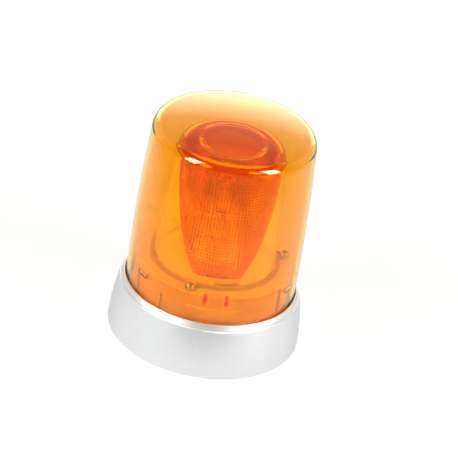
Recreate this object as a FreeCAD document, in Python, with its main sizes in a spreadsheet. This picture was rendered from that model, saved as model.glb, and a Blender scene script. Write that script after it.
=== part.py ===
import FreeCAD, Part
import math
import os
from types import SimpleNamespace

import Sketcher

# A round signal beacon: cast base, amber dome on a bayonet, prism lens in a carrier, flash tube and driver.
# Millimetres, +Z up, origin at the middle of the foot. The front of the beacon faces -Y.

DRIVING_SIZES = {
    # Base casting
    "base_radius": 75.0,
    "base_wall": 4.0,
    "base_bulge": 0.9,
    "foot_round": 1.0,
    "edge_radius": 70.8,
    "edge_height": 40.5,
    "edge_round": 1.2,
    "lip_height": 44.4,
    "lip_width": 0.9,
    "shelf_height": 37.2,
    "shelf_thickness": 4.0,
    "cup_radius": 57.0,
    "cup_wall": 4.0,
    "floor_recess": 4.0,
    "floor_thickness": 4.0,
    # Fixing inserts, cable entry and gasket under the floor
    "fixing_circle_radius": 45.0,
    "fixing_angle": 80.0,
    "insert_radius": 4.0,
    "insert_bore_radius": 2.5,
    "insert_length": 12.0,
    "insert_boss_wall": 2.5,
    "insert_cap": 2.0,
    "cable_hole_radius": 7.0,
    "grommet_flange": 2.0,
    "grommet_collar": 2.0,
    "cable_bore_radius": 4.0,
    "gasket_width": 6.5,
    # Dome
    "dome_foot_radius": 66.0,
    "dome_gap": 1.0,
    "dome_wall": 3.0,
    "dome_height": 182.9,
    "dome_wall_curve": 1450.0,
    "dome_shoulder_radius": 62.9,
    "dome_shoulder_round": 8.0,
    "dome_crown_curve": 380.0,
    "seal_thickness": 2.0,
    "seal_margin": 0.4,
    # Bayonet between dome and drum
    "lock_angle": 90.0,
    "rib_width": 1.8,
    "rib_height": 1.7,
    "ledge_thickness": 2.0,
    "ledge_span": 12.0,
    "lug_span": 9.0,
    "lug_thickness": 3.0,
    "lug_start": 2.5,
    # Drum
    "drum_radius": 60.5,
    "drum_height": 65.5,
    "drum_wall": 2.0,
    "drum_plate": 2.5,
    "drum_round": 1.2,
    "sleeve_radius": 4.2,
    "panel_angle": 276.0,
    "panel_span": 40.0,
    "panel_lift": 0.2,
    "panel_height": 9.4,
    "panel_rise": 0.8,
    "window_angle": 276.5,
    "window_spacing": 15.5,
    "window_width": 3.2,
    "window_height": 8.1,
    "window_depth": 3.5,
    "index_rib_angle": 235.5,
    "index_rib_width": 1.2,
    "index_rib_drop": 10.5,
    "wire_slot_angle": 289.0,
    "wire_slot_circle": 40.5,
    "wire_slot_length": 22.0,
    "wire_slot_width": 8.0,
    # Inner lens and the clear carrier that holds it
    "lens_flange_radius": 51.0,
    "lens_flange": 2.5,
    "lens_foot_radius": 47.5,
    "lens_top_radius": 41.0,
    "lens_top_room": 16.9,
    "lens_wall": 2.8,
    "lens_round": 10.0,
    "lens_eye_radius": 24.0,
    "lens_eye_depth": 3.0,
    "ear_radius": 4.5,
    "carrier_foot_wall": 6.0,
    "carrier_top_drop": 2.0,
    "notch_angle": 276.0,
    "notch_foot_reach": 43.6,
    "notch_top_reach": 14.2,
    "prism_start": 1.0,
    "prism_end": 5.0,
    "prism_pitch": 4.1,
    "prism_depth_top": 0.3,
    "prism_depth_foot": 1.4,
    # Screws through the ears into the base
    "screw_circle_radius": 56.0,
    "screw_angle": 16.0,
    "screw_radius": 2.0,
    "screw_head_radius": 3.8,
    "screw_head_height": 2.6,
    "screw_reach": 12.0,
    "pillar_radius": 5.0,
    # Flash tube on its socket
    "tube_spacing": 14.0,
    "tube_radius": 3.0,
    "tube_bore_radius": 2.0,
    "tube_bend_height": 128.0,
    "electrode_radius": 3.6,
    "electrode_length": 10.0,
    "electrode_depth": 6.0,
    "socket_radius": 15.0,
    "socket_flange_radius": 18.0,
    "socket_flange": 3.5,
    "socket_height": 9.5,
    "socket_stem_radius": 11.5,
    "socket_stem": 5.5,
    "trigger_wire_radius": 0.4,
    "trigger_wire_height": 100.0,
    "lead_radius": 0.8,
    # Driver board and what stands on it
    "board_radius": 49.0,
    "board_thickness": 1.6,
    "board_height": 22.0,
    "board_pillar_radius": 3.0,
    "board_pillar_circle": 40.0,
    "board_screw_radius": 1.5,
    "board_screw_head_radius": 2.8,
    "board_screw_head_height": 2.0,
    "board_screw_length": 6.0,
    "capacitor_radius": 11.0,
    "capacitor_height": 32.0,
    "capacitor_x": -26.0,
    "capacitor_y": -14.0,
    "core_leg": 4.0,
    "core_window": 5.0,
    "core_depth": 10.0,
    "core_height": 22.0,
    "core_x": 24.0,
    "core_y": -14.0,
    "winding_depth": 20.0,
    "coil_radius": 5.0,
    "coil_height": 14.0,
    "coil_x": 2.0,
    "coil_y": -32.0,
    "sink_width": 28.0,
    "sink_height": 26.0,
    "sink_plate": 3.0,
    "sink_fin_depth": 8.0,
    "sink_fin_thickness": 1.6,
    "sink_y": 27.0,
    "transistor_width": 10.0,
    "transistor_tab": 1.3,
    "transistor_tab_height": 15.0,
    "transistor_body": 3.2,
    "transistor_body_height": 9.0,
    "transistor_lift": 4.0,
    "transistor_lead": 0.9,
    "fuse_radius": 2.6,
    "fuse_length": 20.0,
    "fuse_x": -33.0,
    "fuse_y": 9.0,
    "fuse_height": 6.0,
    "clip_width": 7.6,
    "clip_length": 3.0,
    "terminal_x": 22.0,
    "terminal_y": 12.0,
    "terminal_width": 12.0,
    "terminal_length": 16.0,
    "terminal_height": 13.0,
    "terminal_screw_radius": 2.0,
    "terminal_screw_length": 4.0,
    "terminal_well_depth": 5.0,
    "terminal_screw_spacing": 8.0,
    # Clearances
    "running_gap": 0.3,
    "wall_gap": 0.5,
    "snug_gap": 0.05,
}

FOLD = 3  # ears, screws, pillars, inserts and bayonet ribs all come in threes
SINK_FINS = 5

doc = FreeCAD.newDocument("strobe_beacon")
sheet = doc.addObject("Spreadsheet::Sheet", "Sizes")


class Size:
    """A number together with the sheet expression that gives it."""

    def __init__(self, text, value):
        self.text = text
        self.value = value

    def combine(self, sign, other, value):
        return Size(f"({self.text} {sign} {other.text})", value)

    def __add__(self, other):
        other = as_size(other)
        return self.combine("+", other, self.value + other.value)

    def __sub__(self, other):
        other = as_size(other)
        return self.combine("-", other, self.value - other.value)

    def __mul__(self, other):
        other = as_size(other)
        return self.combine("*", other, self.value * other.value)

    def __truediv__(self, other):
        other = as_size(other)
        return self.combine("/", other, self.value / other.value)

    def __neg__(self):
        return Size(f"(0 - {self.text})", -self.value)


def as_size(number):
    return number if isinstance(number, Size) else Size(str(number), float(number))


def sine(angle):
    return Size(f"sin({angle.text})", math.sin(math.radians(angle.value)))


def cosine(angle):
    return Size(f"cos({angle.text})", math.cos(math.radians(angle.value)))


def fill_sheet():
    """Write every driving size into the sheet and return them under their own names."""
    named = {}
    for row, (name, value) in enumerate(DRIVING_SIZES.items(), start=1):
        sheet.set(f"A{row}", name)
        sheet.set(f"B{row}", str(value))
        sheet.setAlias(f"B{row}", name)
        named[name] = Size(f"Sizes.{name}", value)
    return SimpleNamespace(**named)


s = fill_sheet()
doc.recompute()

ZERO = as_size(0)
HALF_ROUND = "half round"


def bind(thing, prop, size):
    thing.setExpression(prop, as_size(size).text)


# Sketch and feature helpers

def new_body(label):
    body = doc.addObject("PartDesign::Body", label)
    body.Label = label
    return body


def origin_feature(body, role):
    return next(f for f in body.Origin.OriginFeatures if f.Role == role)


def sketch_on(body, role, name, height=None, turn=None):
    """Start a sketch on one of the body's own planes, raised by height and turned about its normal."""
    sketch = body.newObject("Sketcher::SketchObject", f"{body.Name}_{name}")
    sketch.AttachmentSupport = [(origin_feature(body, role), "")]
    sketch.MapMode = "FlatFace"
    if height is not None:
        bind(sketch, "AttachmentOffset.Base.z", height)
    if turn is not None:
        bind(sketch, "AttachmentOffset.Rotation.Angle", turn)
    return sketch


def hold(sketch, kind, *where, size):
    """Add one dimension to the sketch and bind it to its size."""
    index = sketch.addConstraint(Sketcher.Constraint(kind, *where, as_size(size).value))
    bind(sketch, f"Constraints[{index}]", size)


def pin_point(sketch, edge, end, x, y):
    """Fix one point of an edge at x, y."""
    for kind, axis, size in (("DistanceX", -2, as_size(x)), ("DistanceY", -1, as_size(y))):
        if size.text == "0":
            sketch.addConstraint(Sketcher.Constraint("PointOnObject", edge, end, axis))
        else:
            hold(sketch, kind, -1, 1, edge, end, size=size)


def arc_middle(start, end, radius):
    """The point halfway along an arc between two points: a positive radius bows to the right of the way."""
    chord = end - start
    half = chord.Length / 2
    rise = abs(radius) - math.sqrt(max(radius * radius - half * half, 0.0))
    side = FreeCAD.Vector(chord.y, -chord.x, 0).normalize()
    return (start + end) * 0.5 + side * math.copysign(rise, radius)


def run_between(sketch, start, end, bow):
    """Draw a straight run or an arc and return it with its own names for its start and its end."""
    if bow is None:
        return sketch.addGeometry(Part.LineSegment(start, end)), 1, 2
    radius = start.distanceToPoint(end) / 2 if bow is HALF_ROUND else bow.value
    edge = sketch.addGeometry(Part.Arc(start, arc_middle(start, end, radius), end))
    from_start = sketch.getPoint(edge, 1).distanceToPoint(start)
    from_end = sketch.getPoint(edge, 1).distanceToPoint(end)
    return (edge, 1, 2) if from_start < from_end else (edge, 2, 1)


def outline(sketch, *stops):
    """Close a loop through the stops: (x, y) ends a straight run, (x, y, radius or HALF_ROUND) an arc."""
    points = [FreeCAD.Vector(as_size(x).value, as_size(y).value, 0) for x, y, *_ in stops]
    bows = [stop[2] if len(stop) == 3 else None for stop in stops]
    edges = [run_between(sketch, points[i - 1], points[i], bow) for i, bow in enumerate(bows)]
    for i, (edge, _, end) in enumerate(edges):
        after, after_start, _ = edges[(i + 1) % len(edges)]
        sketch.addConstraint(Sketcher.Constraint("Coincident", edge, end, after, after_start))
        pin_point(sketch, edge, end, *stops[i][:2])
        if bows[i] is HALF_ROUND:
            sketch.addConstraint(Sketcher.Constraint("Angle", edge, math.pi))
        elif bows[i] is not None:
            hold(sketch, "Radius", edge, size=bows[i] if bows[i].value > 0 else -bows[i])


def circle(sketch, x, y, radius):
    middle = FreeCAD.Vector(as_size(x).value, as_size(y).value, 0)
    edge = sketch.addGeometry(Part.Circle(middle, FreeCAD.Vector(0, 0, 1), as_size(radius).value))
    pin_point(sketch, edge, 3, x, y)
    hold(sketch, "Radius", edge, size=radius)


def rectangle(sketch, x0, y0, x1, y1):
    outline(sketch, (x0, y0), (x1, y0), (x1, y1), (x0, y1))


def turned(body, sketch, kind="PartDesign::Revolution"):
    """Revolve a half section about the beacon's axis, or groove with it."""
    feature = body.newObject(kind, f"{sketch.Name}_turn")
    feature.Profile = sketch
    feature.ReferenceAxis = (sketch, ["V_Axis"])
    feature.Angle = 360
    body.Tip = feature
    return feature


def padded(body, sketch, length, downward=False):
    feature = body.newObject("PartDesign::Pad", f"{sketch.Name}_pad")
    feature.Profile = sketch
    feature.Reversed = downward
    bind(feature, "Length", length)
    body.Tip = feature
    return feature


def pocketed(body, sketch, depth, upward=False):
    """Cut a pocket and make sure that it took material away."""
    doc.recompute()
    before = body.Shape.Volume
    feature = body.newObject("PartDesign::Pocket", f"{sketch.Name}_cut")
    feature.Profile = sketch
    feature.Reversed = upward
    bind(feature, "Length", depth)
    body.Tip = feature
    doc.recompute()
    if body.Shape.Volume >= before:
        raise RuntimeError(f"{feature.Name} cuts nothing")
    return feature


def repeated(body, *features):
    """Repeat features round the beacon's axis."""
    pattern = body.newObject("PartDesign::PolarPattern", f"{features[0].Name}_ring")
    pattern.Originals = list(features)
    pattern.Axis = (origin_feature(body, "Z_Axis"), [""])
    pattern.Angle = 360
    pattern.Occurrences = FOLD
    body.Tip = pattern
    return pattern


def ring_sector(sketch, inner, outer, half_span):
    """A piece of a ring, symmetric about the sketch's own X axis."""
    outline(
        sketch,
        (inner * cosine(half_span), -(inner * sine(half_span)), -inner),
        (outer * cosine(half_span), -(outer * sine(half_span))),
        (outer * cosine(half_span), outer * sine(half_span), outer),
        (inner * cosine(half_span), inner * sine(half_span)),
    )


# Primitive helpers

def place(thing, x=ZERO, y=ZERO, z=ZERO):
    for axis, size in zip("xyz", (x, y, z)):
        bind(thing, f"Placement.Base.{axis}", size)
    return thing


def rod(name, radius, length, x=ZERO, y=ZERO, z=ZERO, along=None):
    """A cylinder standing on x, y, z, or lying along another direction."""
    thing = doc.addObject("Part::Cylinder", name)
    if along is not None:
        thing.Placement.Rotation = FreeCAD.Rotation(FreeCAD.Vector(0, 0, 1), along)
    bind(thing, "Radius", radius)
    bind(thing, "Height", length)
    return place(thing, x, y, z)


def block(name, width, depth, height, x, y, z):
    """A box centred on x and y, standing on z."""
    thing = doc.addObject("Part::Box", name)
    bind(thing, "Length", width)
    bind(thing, "Width", depth)
    bind(thing, "Height", height)
    return place(thing, as_size(x) - as_size(width) / 2, as_size(y) - as_size(depth) / 2, z)


def joined(name, *things):
    thing = doc.addObject("Part::MultiFuse", name)
    thing.Shapes = list(things)
    thing.Refine = True
    return thing


def cut(name, base, *tools):
    tool = tools[0] if len(tools) == 1 else joined(f"{name}_tools", *tools)
    thing = doc.addObject("Part::Cut", name)
    thing.Base = base
    thing.Tool = tool
    return thing


def tapered_block(name, low_width, high_width, depth, low, high, turn):
    """A block on the axis between two heights, its two flat sides leaning in, turned to face an angle."""
    thing = doc.addObject("Part::Wedge", name)
    upright = FreeCAD.Rotation(FreeCAD.Vector(1, 0, 0), 90)
    facing = FreeCAD.Rotation(FreeCAD.Vector(0, 0, 1), turn.value)
    thing.Placement.Rotation = facing * upright
    ends = {"Xmin": -low_width, "Xmax": low_width, "X2min": -high_width, "X2max": high_width}
    sides = {"Zmin": -depth, "Zmax": depth, "Z2min": -depth, "Z2max": depth}
    for prop, size in {**ends, **sides, "Ymin": low, "Ymax": high}.items():
        bind(thing, prop, size)
    return thing


def group(name, *things):
    thing = doc.addObject("Part::Compound", name)
    thing.Links = list(things)
    return thing


def around(radius, angle, step):
    """Where the step-th of three repeats stands on its circle."""
    turn = as_size(angle) + 360 * step / FOLD
    return radius * cosine(turn), radius * sine(turn)


# Heights and radii that several pieces share

floor_top = s.floor_recess + s.floor_thickness
recess_radius = s.dome_foot_radius + s.dome_gap
dome_foot = s.shelf_height + s.seal_thickness + s.running_gap
flange_top = s.drum_height + s.lens_flange
lens_top = s.dome_height - s.lens_top_room
lens_wall_top = lens_top - s.lens_round
carrier_top = lens_wall_top - s.carrier_top_drop
tongue_foot = flange_top + s.carrier_foot_wall
board_top = s.board_height + s.board_thickness
socket_top = s.drum_height + s.socket_height
electrode_foot = socket_top - s.electrode_depth
tube_foot = electrode_foot + s.electrode_length
ledge_low = s.drum_height - s.ledge_thickness
rib_outer = s.drum_radius + s.rib_height
terminal_well_foot = board_top + s.terminal_height - s.terminal_well_depth
transistor_foot = board_top + s.transistor_lift
transistor_hole_height = transistor_foot + (s.transistor_body_height + s.transistor_tab_height) / 2

toward_right = FreeCAD.Vector(1, 0, 0)
toward_back = FreeCAD.Vector(0, 1, 0)


def make_base():
    body = new_body("base_housing")
    section = sketch_on(body, "XZ_Plane", "section")
    lean = s.base_radius - s.edge_radius
    climb = s.edge_height - s.edge_round - s.foot_round
    wall_curve = (lean * lean + climb * climb) / (s.base_bulge * 8) + s.base_bulge / 2
    cavity_top = s.shelf_height - s.shelf_thickness
    outline(
        section,
        (s.base_radius - s.base_wall, ZERO),
        (s.base_radius - s.foot_round, ZERO),
        (s.base_radius, s.foot_round, s.foot_round),
        (s.edge_radius, s.edge_height - s.edge_round, wall_curve),
        (s.edge_radius - s.edge_round, s.edge_height, s.edge_round),
        (recess_radius + s.lip_width, s.lip_height),
        (recess_radius, s.lip_height),
        (recess_radius, s.shelf_height),
        (s.cup_radius, s.shelf_height),
        (s.cup_radius, floor_top),
        (s.cable_hole_radius, floor_top),
        (s.cable_hole_radius, s.floor_recess),
        (s.cup_radius + s.cup_wall, s.floor_recess),
        (s.cup_radius + s.cup_wall, cavity_top),
        (s.edge_radius - s.base_wall, cavity_top),
    )
    turned(body, section)

    pillar = sketch_on(body, "XY_Plane", "pillar", floor_top, s.screw_angle)
    circle(pillar, s.screw_circle_radius, ZERO, s.pillar_radius)
    repeated(body, padded(body, pillar, s.shelf_height - floor_top))
    tapping = sketch_on(body, "XY_Plane", "tapping", s.shelf_height, s.screw_angle)
    circle(tapping, s.screw_circle_radius, ZERO, s.screw_radius + s.snug_gap)
    repeated(body, pocketed(body, tapping, s.screw_reach + s.running_gap))

    boss = sketch_on(body, "XY_Plane", "insert_boss", s.floor_recess, s.fixing_angle)
    circle(boss, s.fixing_circle_radius, ZERO, s.insert_radius + s.insert_boss_wall)
    repeated(body, padded(body, boss, s.insert_length + s.insert_cap))
    bush_hole = sketch_on(body, "XY_Plane", "insert_hole", s.floor_recess, s.fixing_angle)
    circle(bush_hole, s.fixing_circle_radius, ZERO, s.insert_radius + s.snug_gap)
    repeated(body, pocketed(body, bush_hole, s.insert_length, upward=True))
    return body


def make_fixing_inserts():
    body = new_body("fixing_inserts")
    bush = sketch_on(body, "XY_Plane", "bush", s.floor_recess, s.fixing_angle)
    circle(bush, s.fixing_circle_radius, ZERO, s.insert_radius)
    circle(bush, s.fixing_circle_radius, ZERO, s.insert_bore_radius)
    repeated(body, padded(body, bush, s.insert_length))
    return body


def make_cable_grommet():
    body = new_body("cable_grommet")
    section = sketch_on(body, "XZ_Plane", "section")
    flange_radius = s.cable_hole_radius + s.grommet_flange
    groove_radius = s.cable_hole_radius - s.snug_gap
    low = s.floor_recess - s.grommet_collar
    high = floor_top + s.grommet_collar
    outline(
        section,
        (s.cable_bore_radius, low),
        (flange_radius, low),
        (flange_radius, s.floor_recess),
        (groove_radius, s.floor_recess),
        (groove_radius, floor_top),
        (flange_radius, floor_top),
        (s.cable_bore_radius + s.grommet_collar / 2, high),
        (s.cable_bore_radius, high),
    )
    turned(body, section)
    return body


def make_foot_gasket():
    body = new_body("foot_gasket")
    section = sketch_on(body, "XZ_Plane", "section")
    outer = s.cup_radius + s.cup_wall
    rectangle(section, outer - s.gasket_width, ZERO, outer, s.floor_recess)
    turned(body, section)
    return body


def dome_section(sketch, inset, low):
    """Half section of the dome, its faces moved in by inset: wall, shoulder and crown run on tangent."""
    shoulder_curve = s.dome_shoulder_round - inset
    wall_curve = s.dome_wall_curve - inset
    crown_curve = s.dome_crown_curve - inset
    top = s.dome_height - inset
    foot = s.dome_foot_radius - inset
    middle = s.dome_shoulder_radius - s.dome_shoulder_round

    # First guesses for the points that tangency settles
    slope = math.asin(middle.value / (s.dome_crown_curve.value - s.dome_shoulder_round.value))
    crown_middle = FreeCAD.Vector(0, top.value - crown_curve.value, 0)
    crown_end = crown_middle + FreeCAD.Vector(math.sin(slope), math.cos(slope), 0) * crown_curve.value
    shoulder_middle = crown_end - FreeCAD.Vector(math.sin(slope), math.cos(slope), 0) * shoulder_curve.value
    shoulder_low = shoulder_middle + FreeCAD.Vector(shoulder_curve.value, 0, 0)
    shoulder_mid = shoulder_middle + FreeCAD.Vector(1, 1, 0).normalize() * shoulder_curve.value
    wall_start = FreeCAD.Vector(foot.value, low.value, 0)
    crown_top = FreeCAD.Vector(0, top.value, 0)
    crown_mid = crown_middle + FreeCAD.Vector(math.sin(slope / 2), math.cos(slope / 2), 0) * crown_curve.value

    wall_mid = arc_middle(wall_start, shoulder_low, wall_curve.value)
    wall = sketch.addGeometry(Part.Arc(wall_start, wall_mid, shoulder_low))
    shoulder = sketch.addGeometry(Part.Arc(shoulder_low, shoulder_mid, crown_end))
    crown = sketch.addGeometry(Part.Arc(crown_end, crown_mid, crown_top))
    axis = sketch.addGeometry(Part.LineSegment(crown_top, FreeCAD.Vector(0, low.value, 0)))
    floor = sketch.addGeometry(Part.LineSegment(FreeCAD.Vector(0, low.value, 0), wall_start))

    sketch.addConstraint(Sketcher.Constraint("Tangent", wall, 2, shoulder, 1))
    sketch.addConstraint(Sketcher.Constraint("Tangent", shoulder, 2, crown, 1))
    for edge, after in ((crown, axis), (axis, floor), (floor, wall)):
        sketch.addConstraint(Sketcher.Constraint("Coincident", edge, 2, after, 1))
    sketch.addConstraint(Sketcher.Constraint("PointOnObject", crown, 3, -2))
    pin_point(sketch, crown, 2, ZERO, top)
    pin_point(sketch, axis, 2, ZERO, low)
    pin_point(sketch, wall, 1, foot, low)
    hold(sketch, "DistanceX", -1, 1, shoulder, 3, size=middle)
    hold(sketch, "Radius", wall, size=wall_curve)
    hold(sketch, "Radius", shoulder, size=shoulder_curve)
    hold(sketch, "Radius", crown, size=crown_curve)


def make_dome():
    body = new_body("dome")
    outside = sketch_on(body, "XZ_Plane", "outside")
    dome_section(outside, ZERO, dome_foot)
    turned(body, outside)
    inside = sketch_on(body, "XZ_Plane", "inside")
    dome_section(inside, s.dome_wall, dome_foot - s.running_gap)
    turned(body, inside, "PartDesign::Groove")

    # Bayonet lugs, each just under a ledge of the drum and beside its stop rib
    lug_turn = s.lock_angle + s.lug_start + s.lug_span / 2
    lug = sketch_on(body, "XY_Plane", "lug", ledge_low - s.running_gap, lug_turn)
    ring_sector(lug, s.drum_radius + s.wall_gap, s.dome_foot_radius - s.dome_wall / 2, s.lug_span / 2)
    repeated(body, padded(body, lug, s.lug_thickness, downward=True))
    return body


def make_dome_seal():
    body = new_body("dome_seal")
    section = sketch_on(body, "XZ_Plane", "section")
    rectangle(
        section,
        s.dome_foot_radius - s.dome_wall - s.seal_margin,
        s.shelf_height,
        s.dome_foot_radius + s.seal_margin,
        s.shelf_height + s.seal_thickness,
    )
    turned(body, section)
    return body


def make_drum():
    body = new_body("chassis_drum")
    section = sketch_on(body, "XZ_Plane", "section")
    bore = s.drum_radius - s.drum_wall
    plate_low = s.drum_height - s.drum_plate
    socket_hole = s.socket_stem_radius + s.running_gap
    outline(
        section,
        (s.drum_radius, s.shelf_height),
        (s.drum_radius, s.drum_height - s.drum_round),
        (s.drum_radius - s.drum_round, s.drum_height, s.drum_round),
        (socket_hole, s.drum_height),
        (socket_hole, plate_low),
        (bore, plate_low),
        (bore, s.shelf_height),
    )
    turned(body, section)

    sleeve = sketch_on(body, "XY_Plane", "sleeve", s.shelf_height, s.screw_angle)
    circle(sleeve, s.screw_circle_radius, ZERO, s.sleeve_radius)
    repeated(body, padded(body, sleeve, plate_low - s.shelf_height))
    bolt_way = sketch_on(body, "XY_Plane", "bolt_way", s.shelf_height, s.screw_angle)
    circle(bolt_way, s.screw_circle_radius, ZERO, s.screw_radius + s.running_gap)
    repeated(body, pocketed(body, bolt_way, s.drum_height - s.shelf_height, upward=True))

    # Bayonet: an upright stop rib with a ledge along the top on its counter-clockwise side
    wall_middle = s.drum_radius - s.drum_wall / 2
    stop = sketch_on(body, "XY_Plane", "stop_rib", s.lip_height, s.lock_angle)
    rectangle(stop, wall_middle, -(s.rib_width / 2), rib_outer, s.rib_width / 2)
    stop_rib = padded(body, stop, s.drum_height - s.drum_round - s.lip_height)
    ledge = sketch_on(body, "XY_Plane", "ledge", ledge_low, s.lock_angle + s.ledge_span / 2)
    ring_sector(ledge, wall_middle, rib_outer, s.ledge_span / 2)
    repeated(body, stop_rib, padded(body, ledge, s.ledge_thickness - s.drum_round))

    # Front: a raised panel, two upright blind windows above it and a short index rib beside it
    panel = sketch_on(body, "XY_Plane", "panel", s.lip_height + s.panel_lift, s.panel_angle)
    ring_sector(panel, wall_middle, s.drum_radius + s.panel_rise, s.panel_span / 2)
    padded(body, panel, s.panel_height)
    window_floor = s.drum_radius - s.window_depth
    half_window = s.window_width / 2
    half_boss = half_window + s.drum_wall
    boss_low = s.drum_height - s.window_height - s.drum_wall
    for side, turn in (("left", s.window_spacing / -2), ("right", s.window_spacing / 2)):
        angle = s.window_angle + turn
        boss = sketch_on(body, "XY_Plane", f"window_boss_{side}", boss_low, angle)
        rectangle(boss, window_floor - s.drum_wall, -half_boss, wall_middle, half_boss)
        padded(body, boss, s.drum_height - s.drum_plate / 2 - boss_low)
        window = sketch_on(body, "XY_Plane", f"window_{side}", s.drum_height, angle)
        rectangle(window, window_floor, -half_window, rib_outer, half_window)
        pocketed(body, window, s.window_height)
    index = sketch_on(body, "XY_Plane", "index_rib", s.shelf_height, s.index_rib_angle)
    rectangle(index, wall_middle, -(s.index_rib_width / 2), rib_outer, s.index_rib_width / 2)
    padded(body, index, s.drum_height - s.index_rib_drop - s.shelf_height)

    # Way for the trigger lead through the top plate
    wire_slot = sketch_on(body, "XY_Plane", "wire_slot", s.drum_height, s.wire_slot_angle)
    half_width = s.wire_slot_width / 2
    straight = s.wire_slot_length / 2 - half_width
    near = s.wire_slot_circle - half_width
    far = s.wire_slot_circle + half_width
    outline(
        wire_slot,
        (near, -straight),
        (far, -straight, HALF_ROUND),
        (far, straight),
        (near, straight, HALF_ROUND),
    )
    pocketed(body, wire_slot, s.drum_plate)
    return body


def lens_wall_radius(height):
    """Outside radius of the lens wall at a height."""
    share = (height - flange_top) / (lens_wall_top - flange_top)
    return s.lens_foot_radius - (s.lens_foot_radius - s.lens_top_radius) * share


def prism_stops():
    """Inner wall from top to bottom: a prism for each pitch, its facet leaning up, more so at the foot."""
    top = lens_wall_top - s.prism_end
    room = top - tongue_foot - s.prism_start
    count = int(room.value / s.prism_pitch.value)
    stops = []
    for ring in range(count):
        high = top - s.prism_pitch * ring
        low = high - s.prism_pitch
        depth = s.prism_depth_top + (s.prism_depth_foot - s.prism_depth_top) * ring / (count - 1)
        stops.append((lens_wall_radius(high) - s.lens_wall, high))
        stops.append((lens_wall_radius(low) - s.lens_wall - depth, low))
    return stops


def carrier_space(name):
    """The room between the two lens tongues, wide at the foot: the flat sides that lens and carrier share."""
    span = s.lens_flange_radius
    return tapered_block(
        name, s.notch_foot_reach, s.notch_top_reach, span, tongue_foot, carrier_top, s.notch_angle
    )


def make_inner_lens():
    """An amber cap with a tongue at front and back, cut from one bell with prism rings inside."""
    bell = new_body("lens_bell")
    section = sketch_on(bell, "XZ_Plane", "section")
    eye_floor = lens_top - s.lens_eye_depth
    bore_top = s.lens_top_radius - s.lens_wall
    outline(
        section,
        (lens_wall_radius(tongue_foot), tongue_foot),
        (s.lens_top_radius, lens_wall_top),
        (s.lens_top_radius - s.lens_round, lens_top, s.lens_round),
        (s.lens_eye_radius, lens_top),
        (s.lens_eye_radius, eye_floor),
        (ZERO, eye_floor),
        (ZERO, eye_floor - s.lens_wall),
        (s.lens_eye_radius + s.lens_wall, eye_floor - s.lens_wall),
        (s.lens_eye_radius + s.lens_wall, lens_top - s.lens_wall),
        (s.lens_top_radius - s.lens_round, lens_top - s.lens_wall),
        (bore_top, lens_wall_top, s.lens_round - s.lens_wall),
        *prism_stops(),
        (lens_wall_radius(tongue_foot) - s.lens_wall, tongue_foot),
    )
    turned(bell, section)
    return cut("inner_lens", bell, carrier_space("lens_gap"))


def make_lens_carrier():
    """The clear holder: a flange with three ears, and a side wall left and right between the lens tongues."""
    body = new_body("carrier_bell")
    section = sketch_on(body, "XZ_Plane", "section")
    outline(
        section,
        (s.lens_flange_radius, s.drum_height),
        (s.lens_flange_radius, flange_top),
        (s.lens_foot_radius, flange_top),
        (lens_wall_radius(carrier_top), carrier_top),
        (lens_wall_radius(carrier_top) - s.lens_wall, carrier_top),
        (s.lens_foot_radius - s.lens_wall, flange_top),
        (s.lens_foot_radius - s.lens_wall, s.drum_height),
    )
    turned(body, section)

    ear = sketch_on(body, "XY_Plane", "ear", s.drum_height, s.screw_angle)
    outline(
        ear,
        (s.lens_foot_radius, -s.ear_radius),
        (s.screw_circle_radius, -s.ear_radius),
        (s.screw_circle_radius, s.ear_radius, HALF_ROUND),
        (s.lens_foot_radius, s.ear_radius),
    )
    repeated(body, padded(body, ear, s.lens_flange))
    ear_hole = sketch_on(body, "XY_Plane", "ear_hole", flange_top, s.screw_angle)
    circle(ear_hole, s.screw_circle_radius, ZERO, s.screw_radius + s.running_gap)
    repeated(body, pocketed(body, ear_hole, s.lens_flange))

    wide = s.lens_flange_radius * 2
    all_round = block("carrier_all_round", wide, wide, carrier_top - tongue_foot, ZERO, ZERO, tongue_foot)
    notches = cut("carrier_notches", all_round, carrier_space("carrier_sides"))
    return cut("lens_carrier", body, notches)


def make_lens_screws():
    screws = []
    for step in range(FOLD):
        x, y = around(s.screw_circle_radius, s.screw_angle, step)
        foot = s.shelf_height - s.screw_reach
        shank = rod(f"lens_screw_shank_{step}", s.screw_radius, flange_top - foot, x, y, foot)
        head = rod(f"lens_screw_head_{step}", s.screw_head_radius, s.screw_head_height, x, y, flange_top)
        screws.append(joined(f"lens_screw_{step}", shank, head))
    return group("lens_screws", *screws)


def make_tube_socket():
    body = new_body("tube_socket")
    section = sketch_on(body, "XZ_Plane", "section")
    stem_foot = s.drum_height - s.socket_stem
    outline(
        section,
        (ZERO, stem_foot),
        (s.socket_stem_radius, stem_foot),
        (s.socket_stem_radius, s.drum_height),
        (s.socket_flange_radius, s.drum_height),
        (s.socket_flange_radius, s.drum_height + s.socket_flange),
        (s.socket_radius, s.drum_height + s.socket_flange),
        (s.socket_radius, socket_top),
        (ZERO, socket_top),
    )
    turned(body, section)
    for side, x in (("left", s.tube_spacing / -2), ("right", s.tube_spacing / 2)):
        well = sketch_on(body, "XY_Plane", f"well_{side}", socket_top)
        circle(well, x, ZERO, s.electrode_radius + s.snug_gap)
        pocketed(body, well, s.electrode_depth)
    return body


def make_tube_electrodes():
    caps = []
    for side, x in (("left", s.tube_spacing / -2), ("right", s.tube_spacing / 2)):
        caps.append(rod(f"electrode_{side}", s.electrode_radius, s.electrode_length, x, ZERO, electrode_foot))
    return group("tube_electrodes", *caps)


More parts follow.
